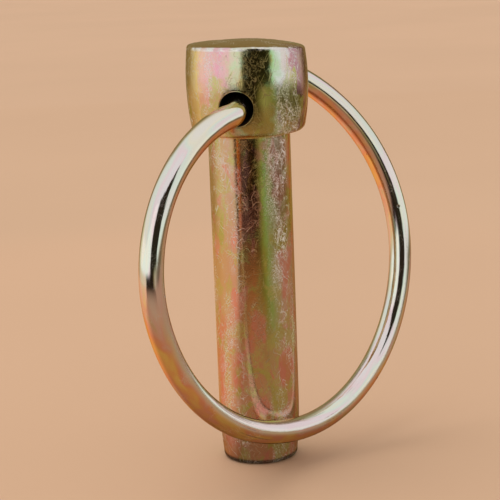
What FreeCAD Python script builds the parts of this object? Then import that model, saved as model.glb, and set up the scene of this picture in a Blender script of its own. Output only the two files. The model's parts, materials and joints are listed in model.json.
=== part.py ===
"""Hitch pin lock: a linch pin, which is a headed round pin with a sprung ring through its head.

The pin stands on its tip: +Z runs from the tip to the head, and the origin is the centre of the
tip's end face. The cross hole lies in the Y-Z plane and climbs from its mouth at -Y to its mouth
at +Y. The ring is drawn closed, leaning on the +X side of the shank. All sizes are millimetres.
"""
import math
import os

import FreeCAD
import Part
import Sketcher

Vector = FreeCAD.Vector
RIM_TOLERANCE = 0.05  # mm, how near a round edge lies to the radius and height it is looked up by
WALL_TOLERANCE = 0.01  # mm, how near an edge's points lie to the cross hole's wall

# ---------------------------------------------------------------- driving sizes

SIZES = [
    ("shank_diameter", 11.0, "round shank, a nominal 7/16 in pin"),
    ("shank_length", 45.0, "tip face to the underside of the head"),
    ("lead_length", 8.5, "height of the eased lead-in above the tip face"),
    ("lead_drop", 0.5, "radius that the lead-in has lost when it reaches the tip face"),
    ("tip_round", 0.7, "rounding of the tip's edge"),
    ("neck_round", 0.3, "fillet between shank and head"),
    ("head_step", 2.62, "radial step from the shank to the fullest part of the head"),
    ("head_height", 11.8, "underside to rim of the head"),
    ("belly_height", 7.0, "underside to the fullest part of the head"),
    ("belly_radius", 36.0, "curve of the head's barrel side"),
    ("head_lower_round", 1.2, "rounding of the head's lower edge"),
    ("head_rim_round", 0.4, "rounding of the head's upper rim"),
    ("head_dome", 0.15, "rise of the upset top face at its middle"),
    ("wire_diameter", 3.15, "spring wire of the ring"),
    ("hole_play", 1.25, "cross hole's diameter over the wire's"),
    ("hole_slant", 14.5, "climb of the cross hole, degrees"),
    ("mouth_round", 0.2, "deburred edge of the cross hole"),
    ("leg_gap", 3.0, "space between the wire's two ends inside the head"),
    ("corner_reach", 1.9, "from the head's fullest part to each corner of the wire"),
    ("corner_radius", 3.4, "bend of the wire's centre line at each corner"),
    ("shank_gap", 0.12, "space between the closed ring and the shank"),
    ("ring_foot_height", 4.95, "tip face to the wire's centre where the ring is lowest"),
    ("ring_foot_shift", 1.4, "lowest point past the place where the ring leans on the shank"),
    ("ring_turn", 55.9, "heading of the ring's lowest stretch from +X, degrees"),
    ("front_turn", 60.5, "heading of the wire as it reaches the front corner, degrees"),
    ("front_rise", 10.0, "climb of the wire as it reaches the front corner, degrees"),
    ("back_turn", 209.0, "heading of the wire as it reaches the back corner, degrees"),
    ("back_rise", 23.0, "climb of the wire as it reaches the back corner, degrees"),
    ("wire_end_bevel", 0.3, "bevel of the wire's two cropped ends"),
]

doc = FreeCAD.newDocument("hitch_pin_lock")
sheet = doc.addObject("Spreadsheet::Sheet", "Sizes")
for row, (alias, value, meaning) in enumerate(SIZES, start=1):
    sheet.set(f"A{row}", alias)
    sheet.set(f"B{row}", str(value))
    sheet.set(f"C{row}", meaning)
    sheet.setAlias(f"B{row}", alias)
doc.recompute()


def size(alias):
    """The value of a named cell."""
    return float(sheet.get(alias))


def lead_radius():
    """Radius of the lead-in arc, tangent to the shank and lead_drop inside it at the tip face."""
    return (size("lead_length") ** 2 + size("lead_drop") ** 2) / (2 * size("lead_drop"))


SHANK_R = size("shank_diameter") / 2
HEAD_R = SHANK_R + size("head_step")
HEAD_TOP = size("shank_length") + size("head_height")
HOLE_CENTRE = Vector(0, 0, size("shank_length") + size("head_height") / 2)


# ---------------------------------------------------------------- helpers

def origin_plane(body, role):
    """One of a body's own origin planes."""
    return next(f for f in body.Origin.OriginFeatures if f.Role == role)


def add_sketch(body, name, role):
    """An empty sketch on one of a body's origin planes."""
    sketch = body.newObject("Sketcher::SketchObject", name)
    sketch.AttachmentSupport = [(origin_plane(body, role), "")]
    sketch.MapMode = "FlatFace"
    doc.recompute()
    return sketch


def dimension(sketch, name, constraint, formula):
    """A named sketch dimension that follows a formula of the sheet's cells."""
    index = sketch.addConstraint(constraint)
    sketch.renameConstraint(index, name)
    sketch.setExpression(f"Constraints.{name}", formula)


def tie(sketch, kind, *where):
    """A sketch constraint with no size."""
    sketch.addConstraint(Sketcher.Constraint(kind, *where))


def heading(turn, rise):
    """Unit vector at a turn from +X and a climb, in degrees."""
    turn, rise = math.radians(turn), math.radians(rise)
    return Vector(math.cos(rise) * math.cos(turn), math.cos(rise) * math.sin(turn), math.sin(rise))


def rim_edges(shape, radius, height):
    """Names of a solid's round edges that have this radius and lie at this height."""
    names = []
    for number, edge in enumerate(shape.Edges, start=1):
        if edge.Degenerated or not isinstance(edge.Curve, Part.Circle):
            continue
        offsets = (edge.Curve.Radius - radius, edge.Curve.Center.z - height)
        if all(abs(offset) < RIM_TOLERANCE for offset in offsets):
            names.append(f"Edge{number}")
    return names


def add_fillet(body, name, base, edges, alias):
    """Rounds named edges of a body by a cell's radius."""
    fillet = body.newObject("PartDesign::Fillet", name)
    fillet.Base = (base, edges)
    fillet.setExpression("Radius", f"Sizes.{alias}")
    doc.recompute()
    return fillet


# ---------------------------------------------------------------- pin: shank and head, one forging

def pin_profile(body):
    """Half section of the pin: tip face, lead-in, shank, underside, barrel side and domed top."""
    sketch = add_sketch(body, "pin_profile", "XZ_Plane")
    tip_r = SHANK_R - size("lead_drop")
    lead = size("lead_length")
    under = size("shank_length")
    belly_z = under + size("belly_height")
    belly_r = size("belly_radius")

    def side_r(height):
        return HEAD_R - belly_r + math.sqrt(belly_r ** 2 - (height - belly_z) ** 2)

    def lead_r(height):
        radius = lead_radius()
        return SHANK_R - radius + math.sqrt(radius ** 2 - (height - lead) ** 2)

    top_r = side_r(HEAD_TOP)
    dome = size("head_dome")
    dome_radius = (top_r ** 2 + dome ** 2) / (2 * dome)
    half_r = top_r / 2
    half_dome = math.sqrt(dome_radius ** 2 - half_r ** 2) - (dome_radius - dome)

    points = {
        "tip_centre": Vector(0, 0, 0),
        "tip_edge": Vector(tip_r, 0, 0),
        "lead_top": Vector(SHANK_R, lead, 0),
        "neck": Vector(SHANK_R, under, 0),
        "under_edge": Vector(side_r(under), under, 0),
        "rim": Vector(top_r, HEAD_TOP, 0),
        "top_centre": Vector(0, HEAD_TOP + dome, 0),
    }
    tip, lead_in, shank, underside, side, top, axis = sketch.addGeometry([
        Part.LineSegment(points["tip_centre"], points["tip_edge"]),
        Part.Arc(points["tip_edge"], Vector(lead_r(lead / 2), lead / 2, 0), points["lead_top"]),
        Part.LineSegment(points["lead_top"], points["neck"]),
        Part.LineSegment(points["neck"], points["under_edge"]),
        Part.Arc(points["under_edge"], Vector(HEAD_R, belly_z, 0), points["rim"]),
        Part.Arc(points["rim"], Vector(half_r, HEAD_TOP + half_dome, 0), points["top_centre"]),
        Part.LineSegment(points["top_centre"], points["tip_centre"]),
    ], False)

    start, end, centre, root = 1, 2, 3, -1
    tie(sketch, "Coincident", tip, start, root, start)
    tie(sketch, "Coincident", tip, end, lead_in, start)
    tie(sketch, "Tangent", lead_in, end, shank, start)
    tie(sketch, "Coincident", shank, end, underside, start)
    tie(sketch, "Coincident", underside, end, side, start)
    tie(sketch, "Coincident", side, end, top, start)
    tie(sketch, "Coincident", top, end, axis, start)
    tie(sketch, "Coincident", axis, end, tip, start)
    for flat in (tip, underside):
        tie(sketch, "Horizontal", flat)
    for upright in (shank, axis):
        tie(sketch, "Vertical", upright)
    tie(sketch, "PointOnObject", top, centre, -2)

    def across(name, geometry, point, value, formula):
        constraint = Sketcher.Constraint("DistanceX", root, start, geometry, point, value)
        dimension(sketch, name, constraint, formula)

    def up(name, geometry, point, value, formula):
        constraint = Sketcher.Constraint("DistanceY", root, start, geometry, point, value)
        dimension(sketch, name, constraint, formula)

    half = "Sizes.shank_diameter / 2"
    across("shank_r", shank, end, SHANK_R, half)
    across("tip_r", tip, end, tip_r, f"{half} - Sizes.lead_drop")
    up("lead", shank, start, lead, "Sizes.lead_length")
    up("under", shank, end, under, "Sizes.shank_length")
    dimension(sketch, "belly_r", Sketcher.Constraint("Radius", side, belly_r), "Sizes.belly_radius")
    up("belly_z", side, centre, belly_z, "Sizes.shank_length + Sizes.belly_height")
    constraint = Sketcher.Constraint("DistanceX", side, centre, root, start, belly_r - HEAD_R)
    dimension(sketch, "belly_x", constraint, f"Sizes.belly_radius - {half} - Sizes.head_step")
    up("rim_z", side, end, HEAD_TOP, "Sizes.shank_length + Sizes.head_height")
    up("dome_z", top, end, HEAD_TOP + dome,
       "Sizes.shank_length + Sizes.head_height + Sizes.head_dome")
    doc.recompute()
    return sketch, side_r(under), top_r


def cross_hole(body):
    """The slanted hole for the ring, turned about its own axis through the middle of the head."""
    sketch = add_sketch(body, "cross_hole_profile", "YZ_Plane")
    slant = math.radians(size("hole_slant"))
    radius = (size("wire_diameter") + size("hole_play")) / 2
    overrun = HEAD_R + size("wire_diameter")
    along = Vector(math.cos(slant), math.sin(slant), 0)
    aside = Vector(-math.sin(slant), math.cos(slant), 0)
    middle = Vector(0, HOLE_CENTRE.z, 0)
    front = middle - along * overrun
    back = middle + along * overrun
    axis, bottom, right, wall, left = sketch.addGeometry([
        Part.LineSegment(front, back),
        Part.LineSegment(front, back),
        Part.LineSegment(back, back + aside * radius),
        Part.LineSegment(back + aside * radius, front + aside * radius),
        Part.LineSegment(front + aside * radius, front),
    ], False)
    sketch.toggleConstruction(axis)
    start, end, root = 1, 2, -1
    tie(sketch, "Coincident", bottom, start, axis, start)
    tie(sketch, "Coincident", bottom, end, axis, end)
    tie(sketch, "Coincident", bottom, end, right, start)
    tie(sketch, "Coincident", right, end, wall, start)
    tie(sketch, "Coincident", wall, end, left, start)
    tie(sketch, "Coincident", left, end, bottom, start)
    tie(sketch, "Perpendicular", bottom, right)
    tie(sketch, "Perpendicular", right, wall)
    tie(sketch, "Perpendicular", wall, left)

    run = "Sizes.shank_diameter / 2 + Sizes.head_step + Sizes.wire_diameter"
    middle_z = "Sizes.shank_length + Sizes.head_height / 2"
    angle = "Sizes.hole_slant * pi / 180"
    for name, point, sign in (("front", start, -1), ("back", end, 1)):
        place = middle + along * overrun * sign
        sideways = abs(place.x)
        first, second = ((axis, point), (root, start)) if sign < 0 else ((root, start), (axis, point))
        constraint = Sketcher.Constraint("DistanceX", *first, *second, sideways)
        dimension(sketch, f"{name}_y", constraint, f"({run}) * cos({angle} * 1 rad)")
        constraint = Sketcher.Constraint("DistanceY", root, start, axis, point, place.y)
        rise = f"({run}) * sin({angle} * 1 rad)"
        dimension(sketch, f"{name}_z", constraint, f"{middle_z} {'+' if sign > 0 else '-'} {rise}")
    constraint = Sketcher.Constraint("Distance", right, radius)
    dimension(sketch, "hole_r", constraint, "(Sizes.wire_diameter + Sizes.hole_play) / 2")
    doc.recompute()

    before = body.Shape.Volume
    groove = body.newObject("PartDesign::Groove", "cross_hole")
    groove.Profile = sketch
    groove.ReferenceAxis = (sketch, ["Axis0"])
    groove.Angle = 360
    body.Tip = groove
    doc.recompute()
    assert body.Shape.Volume < before, "the cross hole cuts nothing"
    return groove, radius


def mouth_edges(shape, hole_r):
    """Names of the edges where the cross hole breaks through the head's side."""
    line = heading(90, size("hole_slant"))
    names = []
    for number, edge in enumerate(shape.Edges, start=1):
        if edge.Degenerated:
            continue
        low, high = edge.ParameterRange
        points = [edge.valueAt(low + (high - low) * share) for share in (0, 0.5, 1)]
        off_wall = [abs((p - HOLE_CENTRE).cross(line).Length - hole_r) for p in points]
        if max(off_wall) < WALL_TOLERANCE and all(abs(p.y) > HEAD_R / 2 for p in points):
            names.append(f"Edge{number}")
    return names


def build_pin():
    """Shank and head: one piece of steel, turned profile, rounded edges and the cross hole."""
    body = doc.addObject("PartDesign::Body", "pin")
    body.Label = "pin"
    profile, under_r, top_r = pin_profile(body)
    solid = body.newObject("PartDesign::Revolution", "pin_blank")
    solid.Profile = profile
    solid.ReferenceAxis = (profile, ["V_Axis"])
    solid.Angle = 360
    doc.recompute()

    tip_r = SHANK_R - size("lead_drop")
    under = size("shank_length")
    rounds = [
        ("tip_edge", tip_r, 0, "tip_round"),
        ("neck", SHANK_R, under, "neck_round"),
        ("head_lower_edge", under_r, under, "head_lower_round"),
        ("head_rim", top_r, HEAD_TOP, "head_rim_round"),
    ]
    feature = solid
    for name, radius, height, alias in rounds:
        edges = rim_edges(feature.Shape, radius, height)
        assert edges, f"no edge to round at {name}"
        feature = add_fillet(body, name, feature, edges, alias)

    groove, hole_r = cross_hole(body)
    mouths = mouth_edges(groove.Shape, hole_r)
    assert len(mouths) >= 2, "a mouth of the cross hole has no edge"
    add_fillet(body, "hole_mouths", groove, mouths, "mouth_round")
    return body


# ---------------------------------------------------------------- snap ring: one length of spring wire

def unit(vector):
    """A vector's direction."""
    return vector * (1 / vector.Length)


def arc_from(start, leaving, end):
    """The arc that leaves start along a heading and passes through end."""
    chord = end - start
    along = unit(chord)
    aside = unit(leaving - along * leaving.dot(along))
    bow = chord.Length / 2 * math.tan(leaving.getAngle(chord) / 2)
    return Part.Arc(start, start + chord * 0.5 + aside * bow, end).toShape()


def arc_pair(start, leaving, end, arriving):
    """Two tangent arcs from one point and heading to another, with equal reach at both ends."""
    gap = end - start
    both = leaving + arriving
    square = 2 * (1 - leaving.dot(arriving))
    linear = 2 * gap.dot(both)
    reach = (math.sqrt(linear ** 2 + 4 * square * gap.dot(gap)) - linear) / (2 * square)
    first = start + leaving * reach
    last = end - arriving * reach
    joint = (first + last) * 0.5
    return [arc_from(start, leaving, joint), arc_from(joint, unit(last - first), end)]


def ring_path():
    """Centre line of the wire, from its end in the front half of the hole round to the other."""
    wire_r = size("wire_diameter") / 2
    hole_line = heading(90, size("hole_slant"))
    foot_line = heading(size("ring_turn"), 0)
    lean_side = Vector(foot_line.y, -foot_line.x, 0)
    foot = lean_side * (SHANK_R + size("shank_gap") + wire_r)
    foot += foot_line * size("ring_foot_shift")
    foot.z = size("ring_foot_height")

    def corner(side, turn, rise):
        """Where the wire meets its bend, where it leaves it in the hole, and its heading."""
        inward = hole_line * -side
        point = HOLE_CENTRE + hole_line * side * (HEAD_R + size("corner_reach"))
        arriving = heading(turn, rise)
        reach = size("corner_radius") * math.tan(arriving.getAngle(inward) / 2)
        return point - arriving * reach, point + inward * reach, arriving

    front_out, front_in, front_heading = corner(-1, size("front_turn"), size("front_rise"))
    back_out, back_in, back_heading = corner(1, size("back_turn"), size("back_rise"))
    half_gap = hole_line * (size("leg_gap") / 2)
    edges = [Part.makeLine(HOLE_CENTRE - half_gap, front_in)]
    edges.append(arc_from(front_in, hole_line * -1, front_out))
    edges += arc_pair(front_out, front_heading * -1, foot, foot_line)
    edges += arc_pair(foot, foot_line, back_out, back_heading)
    edges.append(arc_from(back_out, back_heading, back_in))
    edges.append(Part.makeLine(back_in, HOLE_CENTRE + half_gap))
    return Part.Wire(edges)


def build_snap_ring():
    """The ring: wire swept along its path, with bevelled ends."""
    path = doc.addObject("Part::Feature", "ring_path")
    path.Shape = ring_path()
    section = doc.addObject("Part::Circle", "wire_section")
    section.setExpression("Radius", "Sizes.wire_diameter / 2")
    leg_start = path.Shape.Edges[0].Vertexes[0].Point
    leg_line = heading(90, size("hole_slant")) * -1
    section.Placement = FreeCAD.Placement(leg_start, FreeCAD.Rotation(Vector(0, 0, 1), leg_line))
    wire = doc.addObject("Part::Sweep", "bent_wire")
    wire.Sections = [section]
    wire.Spine = (path, [f"Edge{n}" for n in range(1, len(path.Shape.Edges) + 1)])
    wire.Solid = True
    doc.recompute()

    ends = []
    for number, edge in enumerate(wire.Shape.Edges, start=1):
        closed = isinstance(edge.Curve, Part.Circle) and edge.Closed
        near = (edge.BoundBox.Center - HOLE_CENTRE).Length < size("leg_gap")
        if closed and near:
            ends.append((number, size("wire_end_bevel"), size("wire_end_bevel")))
    assert len(ends) == 2, f"{len(ends)} wire ends"
    ring = doc.addObject("Part::Chamfer", "snap_ring")
    ring.Label = "snap_ring"
    ring.Base = wire
    ring.Edges = ends
    doc.recompute()
    return ring, path


# ---------------------------------------------------------------- build, check and write

pin = build_pin()
snap_ring, ring_line = build_snap_ring()
doc.recompute()

for item in doc.Objects:
    assert not {"Invalid", "Error"} & set(item.State), f"{item.Name} failed"
os.makedirs("parts", exist_ok=True)
for part in (pin, snap_ring):
    shape = part.Shape
    assert not shape.isNull() and shape.isValid(), f"{part.Label} has no valid shape"
    assert len(shape.Solids) == 1, f"{part.Label} is {len(shape.Solids)} solids"
    shape.exportStep(f"parts/{part.Label}.step")
    print(part.Label, "volume", round(shape.Volume, 1), "mm3, box", shape.BoundBox)

wire_area = math.pi * (size("wire_diameter") / 2) ** 2
print("wire length", round(ring_line.Shape.Length, 1), "mm, swept volume over section x length",
      round(snap_ring.Shape.Volume / (wire_area * ring_line.Shape.Length), 4))
print("bend radii", [round(e.Curve.Radius, 1) for e in ring_line.Shape.Edges
                     if isinstance(e.Curve, Part.Circle)])
print("ring to pin", round(snap_ring.Shape.distToShape(pin.Shape)[0], 3), "mm")
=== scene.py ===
# %% [markdown]
# # A linch pin: headed pin and snap ring
#
# A linch pin locks a trailer hitch. It is two pieces of steel: a forged pin with a slanted hole
# through its head, and one length of spring wire bent into a ring whose two ends turn in that hole.
# Both are zinc plated and yellow passivated, which leaves a film so thin that it shows colours.
#
# The sizes and the motion come from the CAD model. This lesson loads it, keeps its sizes, and works
# on what a drawing doesn't hold: smooth dense surfaces, small dents, plating, scratches and light.

# %% Load the frame
import json
import math
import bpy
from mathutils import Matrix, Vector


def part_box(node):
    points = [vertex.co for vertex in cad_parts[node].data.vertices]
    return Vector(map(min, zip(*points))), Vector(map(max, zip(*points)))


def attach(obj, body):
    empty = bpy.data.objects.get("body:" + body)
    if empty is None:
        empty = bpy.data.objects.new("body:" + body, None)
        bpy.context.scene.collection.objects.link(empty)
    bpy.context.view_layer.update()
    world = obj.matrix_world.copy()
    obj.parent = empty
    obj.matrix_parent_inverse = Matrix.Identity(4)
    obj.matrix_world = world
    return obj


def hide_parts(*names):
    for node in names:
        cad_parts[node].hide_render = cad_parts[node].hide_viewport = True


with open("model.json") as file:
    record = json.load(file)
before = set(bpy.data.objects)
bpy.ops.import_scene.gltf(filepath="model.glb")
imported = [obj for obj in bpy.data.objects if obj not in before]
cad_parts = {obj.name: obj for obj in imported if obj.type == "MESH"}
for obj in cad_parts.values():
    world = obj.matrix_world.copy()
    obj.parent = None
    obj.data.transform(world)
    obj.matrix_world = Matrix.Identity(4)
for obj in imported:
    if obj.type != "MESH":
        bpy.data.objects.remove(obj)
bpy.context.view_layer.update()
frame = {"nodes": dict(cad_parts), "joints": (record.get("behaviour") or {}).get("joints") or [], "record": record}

from types import SimpleNamespace

import bpy
from mathutils import Matrix, Vector, noise

MM = 0.001

# %% [markdown]
# ## Camera
#
# The pin stands on its tip and the camera looks slightly down at it, from a little to the right of
# the ring's front end. A long lens close to the object keeps the head only a little larger than
# the tip. The camera is leaned by about two degrees, which tips the pin in the picture.

# %% Camera
camera_side = math.radians(11.562)
camera_height = math.radians(11.543)
camera_lean = math.radians(-2.206)
camera_distance = 224.93 * MM
aim = Vector((-0.454, -0.093, 28.818)) * MM

back = Vector((math.sin(camera_side) * math.cos(camera_height),
               -math.cos(camera_side) * math.cos(camera_height),
               math.sin(camera_height)))
side = Vector((math.cos(camera_side), math.sin(camera_side), 0))
upward = back.cross(side)
leaned_side = side * math.cos(camera_lean) + upward * math.sin(camera_lean)
leaned_up = upward * math.cos(camera_lean) - side * math.sin(camera_lean)

lens = bpy.data.cameras.new("camera")
lens.sensor_width = 36
lens.lens = 119.6
lens.clip_start = 0.01
camera = bpy.data.objects.new("camera", lens)
bpy.context.scene.collection.objects.link(camera)
camera.matrix_world = Matrix.Translation(aim + back * camera_distance) @ Matrix(
    (leaned_side, leaned_up, back)).transposed().to_4x4()
bpy.context.scene.camera = camera
print("camera at, mm:", [round(c / MM, 1) for c in camera.matrix_world.translation])

# %% [markdown]
# ## Node helpers
#
# A procedural material is a small program made of nodes. `add` makes one node, sets its options, and
# fills each input with a value or with a link from another node's output, so that a material reads
# from its first texture down to its shader. Writing nodes in code keeps every number in sight.

# %% Node helpers
def add(tree, kind, inputs=None, **options):
    """One shader node. inputs maps a socket's name or number to a value or to an output."""
    item = tree.nodes.new("ShaderNode" + kind)
    for option, value in options.items():
        setattr(item, option, value)
    for socket, value in (inputs or {}).items():
        if isinstance(value, bpy.types.NodeSocket):
            tree.links.new(value, item.inputs[socket])
        else:
            item.inputs[socket].default_value = value
    return item


def ramp(tree, value, colours):
    """A colour ramp from (place, red, green, blue) stops."""
    item = add(tree, "ValToRGB", {0: value})
    bar = item.color_ramp.elements
    while len(bar) < len(colours):
        bar.new(1.0)
    for stop, (place, *colour) in zip(bar, colours):
        stop.position = place
        stop.color = (*colour, 1)
    return item.outputs[0]


def empty_material(name):
    """A material with no nodes yet."""
    material = bpy.data.materials.new(name)
    material.use_nodes = True
    material.node_tree.nodes.clear()
    return material, material.node_tree


def new_material(name):
    """A material with its shader joined to its output."""
    material, tree = empty_material(name)
    shader = add(tree, "BsdfPrincipled")
    add(tree, "OutputMaterial", {0: shader.outputs[0]})
    return material, tree, shader


# %% [markdown]
# ## Floor
#
# The part stands on a plain pale peach surface: matt card with a faint mottle and a fine grain. A
# picture of card could be laid on it, but two noises do the same at any distance. The metal doesn't
# see this floor. What the metal sees is made apart from it below, so each can be set by itself.

# %% Floor
FLOOR_RADIUS = 6.0


def peach_paper():
    """Matt card with a faint mottle and grain."""
    material, tree, shader = new_material("peach_paper")
    place = add(tree, "TexCoord").outputs["Object"]
    mottle = add(tree, "TexNoise", {"Vector": place, "Scale": 9.0, "Detail": 2.0}).outputs[0]
    grain = add(tree, "TexNoise", {"Vector": place, "Scale": 2600.0, "Detail": 2.0}).outputs[0]
    colour = ramp(tree, mottle, [(0.35, 0.665, 0.425, 0.268), (0.65, 0.685, 0.438, 0.277)])
    tree.links.new(colour, shader.inputs["Base Color"])
    bump = add(tree, "Bump", {"Strength": 0.12, "Distance": 0.05 * MM, "Height": grain})
    tree.links.new(bump.outputs[0], shader.inputs["Normal"])
    shader.inputs["Roughness"].default_value = 0.85
    shader.inputs["Specular IOR Level"].default_value = 0.2
    return material


def disc(name, radius, height=0.0, corners=96):
    """A flat round surface that belongs to the stage."""
    turns = [math.tau * i / corners for i in range(corners)]
    rim = [(radius * math.cos(t), radius * math.sin(t), height) for t in turns]
    mesh = bpy.data.meshes.new(name)
    mesh.from_pydata(rim, [], [range(corners)])
    item = bpy.data.objects.new(name, mesh)
    bpy.context.scene.collection.objects.link(item)
    return item


floor = disc("floor", FLOOR_RADIUS)
floor.data.materials.append(peach_paper())
floor.visible_glossy = False
print("floor radius, m:", round(floor.dimensions.x / 2, 3))

# %% [markdown]
# ## Math nodes
#
# The stage's lights and the plating are both worked out from where a point is. These helpers name
# the few sums that do it: a product, the highest of several values, a smooth step, a band between two
# steps, and the turn and the distance round the upright axis.

# %% Math nodes
def sums(tree, operation, *values, clamp=False):
    """The result of one math node."""
    return add(tree, "Math", dict(enumerate(values)), operation=operation, use_clamp=clamp).outputs[0]


def product(tree, first, *others):
    """Several values multiplied together."""
    for other in others:
        first = sums(tree, "MULTIPLY", first, other)
    return first


def highest(tree, first, *others):
    """The highest of several values."""
    for other in others:
        first = sums(tree, "MAXIMUM", first, other)
    return first


def steps(tree, value, low, high, bottom=0.0, top=1.0):
    """A smooth step from bottom at low to top at high. low may be the larger of the two."""
    return add(tree, "MapRange", {0: value, 1: low, 2: high, 3: bottom, 4: top},
               interpolation_type="SMOOTHSTEP").outputs[0]


def band(tree, value, rise, fall):
    """A smooth band: it rises over one (low, high) pair and falls over the next."""
    return product(tree, steps(tree, value, *rise), steps(tree, value, *fall, 1.0, 0.0))


def coordinates(tree):
    """The three coordinates of a point in its object's own frame."""
    return add(tree, "SeparateXYZ", {0: add(tree, "TexCoord").outputs["Object"]}).outputs


def turn_round(tree, x, y):
    """The turn round the upright axis, in radians: 0 towards -Y, positive towards +X."""
    return sums(tree, "ARCTAN2", x, sums(tree, "MULTIPLY", y, -1.0))


def distance_out(tree, x, y):
    """The distance from the upright axis."""
    return sums(tree, "SQRT", sums(tree, "ADD", product(tree, x, x), product(tree, y, y)))


# %% [markdown]
# ## Paper seen in reflections
#
# Polished metal shows its surroundings, so the look of the plating depends on what stands round it.
# The first thing is the paper under the pin. In the metal it glows with painted light and shade: a
# painted shade where the tip stands, dim towards the viewer, bright on the left and half as bright on
# the right. It is a disc that nothing but a reflection sees, and it turns clear before its edge, so
# that no edge shows in the metal.

# %% Paper seen in reflections
PAPER_RADIUS = 0.20
PAPER_COLOUR = (0.86, 0.54, 0.34, 1)
PAPER_LIGHT, PAPER_FAR_LIGHT = 0.52, 0.03
PAPER_FADES = (0.085, 0.19)
PAPER_CLEARS = (0.15, 0.19)
TIP_SHADE = (0.008, 0.035)
TIP_CONTACT_SHADE = (0.0056, 0.0064)
LEFT_EDGE = -44.5
LEFT_EDGE_WIDTHS = (70.0, 5.0)
LEFT_EDGE_NARROWS = (0.045, 0.125)
RIGHT_EDGE = (14, 32)


def only_reflected(item):
    """Hides a stage object from everything but reflections."""
    for sight in ("camera", "diffuse", "shadow", "transmission"):
        setattr(item, "visible_" + sight, False)
    return item


def paper_glow():
    """The paper as the metal sees it, glowing with painted light and a painted shade by the tip. Distances are
    metres out from the pin, turns are degrees.
    """
    material, tree = empty_material("paper_in_metal")
    x, y, _ = coordinates(tree)
    turn = sums(tree, "DEGREES", turn_round(tree, x, y))
    away = distance_out(tree, x, y)
    width = steps(tree, away, *LEFT_EDGE_NARROWS, *LEFT_EDGE_WIDTHS)
    left = sums(tree, "DIVIDE", sums(tree, "SUBTRACT", LEFT_EDGE, turn), width)
    left = sums(tree, "ADD", left, 0.5, clamp=True)
    right = steps(tree, turn, *RIGHT_EDGE, 0.0, PAPER_LIGHT)
    light = highest(tree, steps(tree, away, *PAPER_FADES, PAPER_LIGHT, PAPER_FAR_LIGHT), left, right)
    # painted shade on the reflected paper close to the tip, and a darker painted contact shadow where it touches
    light = product(tree, light, steps(tree, away, *TIP_SHADE, 0.55, 1.0),
                    steps(tree, away, *TIP_CONTACT_SHADE, 0.20, 1.0))
    glow = add(tree, "Emission", {"Color": PAPER_COLOUR, "Strength": light}).outputs[0]
    clear = add(tree, "BsdfTransparent").outputs[0]
    mix = add(tree, "MixShader", {0: steps(tree, away, *PAPER_CLEARS), 1: glow, 2: clear})
    add(tree, "OutputMaterial", {0: mix.outputs[0]})
    return material


near_paper = only_reflected(disc("paper_in_metal", PAPER_RADIUS))
near_paper.data.materials.append(paper_glow())
near_paper.rotation_euler.z = camera_side
print("paper in metal, radius in m:", PAPER_RADIUS)

# %% [markdown]
# ## Screen seen in reflections
#
# Round the pin stand bright walls on the left and on the right, with a dark gap between them where
# the viewer is, and a dim warm wall behind. The pin is upright, so each of these becomes an upright
# stripe in the metal. A round wall carries all of them on two colour ramps, one below the horizon
# and one above it. Near its top both sides turn to a white overhead light, but the gap doesn't.

# %% Screen seen in reflections
SCREEN_RADIUS = 0.45
SCREEN_FOOT, CEILING_HEIGHT = -0.30, 0.40
HIGH_LIGHT = [
    (0.00, 0.30, 0.24, 0.13), (0.12, 0.34, 0.27, 0.15), (0.19, 0.80, 0.72, 0.56),
    (0.24, 1.00, 0.98, 0.95), (0.470, 1.00, 0.98, 0.95), (0.484, 0.025, 0.02, 0.012),
    (0.618, 0.025, 0.02, 0.012), (0.632, 0.84, 0.86, 0.82), (0.85, 0.90, 0.90, 0.86),
    (0.87, 0.22, 0.18, 0.12), (0.895, 0.20, 0.16, 0.10), (0.93, 0.30, 0.24, 0.13),
]
LOW_LIGHT = [
    (0.00, 0.48, 0.33, 0.18), (0.14, 0.56, 0.40, 0.23), (0.22, 0.80, 0.62, 0.44),
    (0.372, 0.82, 0.66, 0.50), (0.383, 0.02, 0.014, 0.008), (0.538, 0.02, 0.014, 0.008),
    (0.560, 0.20, 0.17, 0.08), (0.585, 0.52, 0.48, 0.32), (0.62, 0.36, 0.31, 0.21),
    (0.67, 0.17, 0.12, 0.08), (0.80, 0.20, 0.14, 0.08), (0.87, 0.46, 0.31, 0.17),
    (1.00, 0.48, 0.33, 0.18),
]
OVERHEAD_COLOUR = (0.82, 0.81, 0.81)
HORIZON = (-0.02, 0.02)
OVERHEAD_STARTS = (0.11, 0.16)
OVERHEAD_ENDS_BEHIND = (0.66, 0.78)
GAP_STARTS, GAP_ENDS = (0.36, 0.39), (0.62, 0.65)
GAP_LIFT = 0.30


def blended(tree, share, first, second):
    """Two colours mixed by a share."""
    item = add(tree, "Mix", {0: share}, data_type="RGBA")
    for socket, value in ((6, first), (7, second)):
        if isinstance(value, bpy.types.NodeSocket):
            tree.links.new(value, item.inputs[socket])
        else:
            item.inputs[socket].default_value = (*value, 1)
    return item.outputs[2]


def glowing(name, tree_to_colour):
    """A material that only gives out light, in the colour that a function makes in its tree."""
    material, tree = empty_material(name)
    glow = add(tree, "Emission", {"Color": tree_to_colour(tree), "Strength": 1.0})
    add(tree, "OutputMaterial", {0: glow.outputs[0]})
    return material


def screen_colour(tree):
    """Walls and gap. Places on the ramps are shares of a turn: 0.5 is the viewer, less is left."""
    x, y, z = coordinates(tree)
    turn = turn_round(tree, x, y)
    share = sums(tree, "MULTIPLY_ADD", turn, 1 / math.tau, 0.5)
    colour = blended(tree, steps(tree, z, *HORIZON), ramp(tree, share, LOW_LIGHT),
                     ramp(tree, share, HIGH_LIGHT))
    behind = sums(tree, "ABSOLUTE", sums(tree, "MULTIPLY", turn, 1 / math.pi))
    height = sums(tree, "MULTIPLY_ADD", band(tree, share, GAP_STARTS, GAP_ENDS), -GAP_LIFT, z)
    overhead = product(tree, steps(tree, height, *OVERHEAD_STARTS),
                       steps(tree, behind, *OVERHEAD_ENDS_BEHIND, 1.0, 0.0))
    return blended(tree, overhead, colour, OVERHEAD_COLOUR)


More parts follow.
